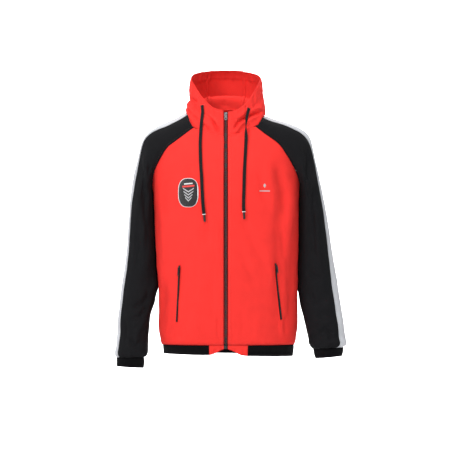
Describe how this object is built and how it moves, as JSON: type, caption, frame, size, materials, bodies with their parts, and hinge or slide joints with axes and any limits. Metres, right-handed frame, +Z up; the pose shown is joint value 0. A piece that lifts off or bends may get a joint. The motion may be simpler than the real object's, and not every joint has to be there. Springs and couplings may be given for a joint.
{
  "type": "hoodie",
  "caption": "Zipped hoodie in worn shape, hollow and open at neck, hem and cuffs, with raglan sleeves, a turned-down hood with drawstrings, zipped front pockets and a chest badge.",
  "frame": {"origin": "inside the neck, level with the tops of the shoulders, where the wearer's shoulders hold the garment up", "axes": "+X to the wearer's left, -Y to the front, +Z up"},
  "size_m": [0.6748, 0.3365, 0.8775],
  "materials": {
    "red_knit": "matte knit",
    "black_knit": "matte knit",
    "white_knit": "matte knit",
    "black_rib": "ribbed knit",
    "black_trim": "woven tape",
    "white_trim": "embroidered edge",
    "grey_metal": "satin metal"
  },
  "bodies": {
    "garment": {"front_panel_right": "red_knit", "front_panel_left": "red_knit", "back_panel": "red_knit", "sleeve_front_right": "black_knit", "sleeve_stripe_right": "white_knit", "sleeve_back_right": "black_knit", "cuff_right": "black_rib", "sleeve_front_left": "black_knit", "sleeve_stripe_left": "white_knit", "sleeve_back_left": "black_knit", "cuff_left": "black_rib", "hem_rib": "black_rib", "hem_tab_right": "red_knit", "hem_tab_left": "red_knit", "hood_side_right": "red_knit", "hood_centre": "red_knit", "hood_side_left": "red_knit", "zip_tape_right": "black_trim", "zip_tape_left": "black_trim", "zip_chain": "black_trim", "zip_box": "black_trim", "zip_slider": "grey_metal", "pocket_zip_right": "black_trim", "pocket_slider_right": "grey_metal", "pocket_zip_left": "black_trim", "pocket_slider_left": "grey_metal", "chest_badge": "black_trim", "badge_border": "white_trim", "drawstring_right": "black_trim", "drawstring_tip_right": "black_trim", "drawstring_left": "black_trim", "drawstring_tip_left": "black_trim"},
    "front_pull": {"zip_pull": "grey_metal"},
    "right_pocket_pull": {"pocket_pull_right": "grey_metal"},
    "left_pocket_pull": {"pocket_pull_left": "grey_metal"}
  },
  "joints": [
    {"name": "front_pull_hinge", "type": "hinge", "parent": "garment", "child": "front_pull", "pos_m": [-0.0005, -0.10879, -0.0105], "axis": [-1, 0, 0], "range_deg": [0, 160]},
    {"name": "right_pocket_pull_hinge", "type": "hinge", "parent": "garment", "child": "right_pocket_pull", "pos_m": [-0.13818, -0.11513, -0.45716], "axis": [-0.8428, 0.5301, 0.0931], "range_deg": [0, 160]},
    {"name": "left_pocket_pull_hinge", "type": "hinge", "parent": "garment", "child": "left_pocket_pull", "pos_m": [0.14831, -0.10928, -0.45028], "axis": [-0.6576, -0.7374, -0.1546], "range_deg": [0, 160]}
  ]
}
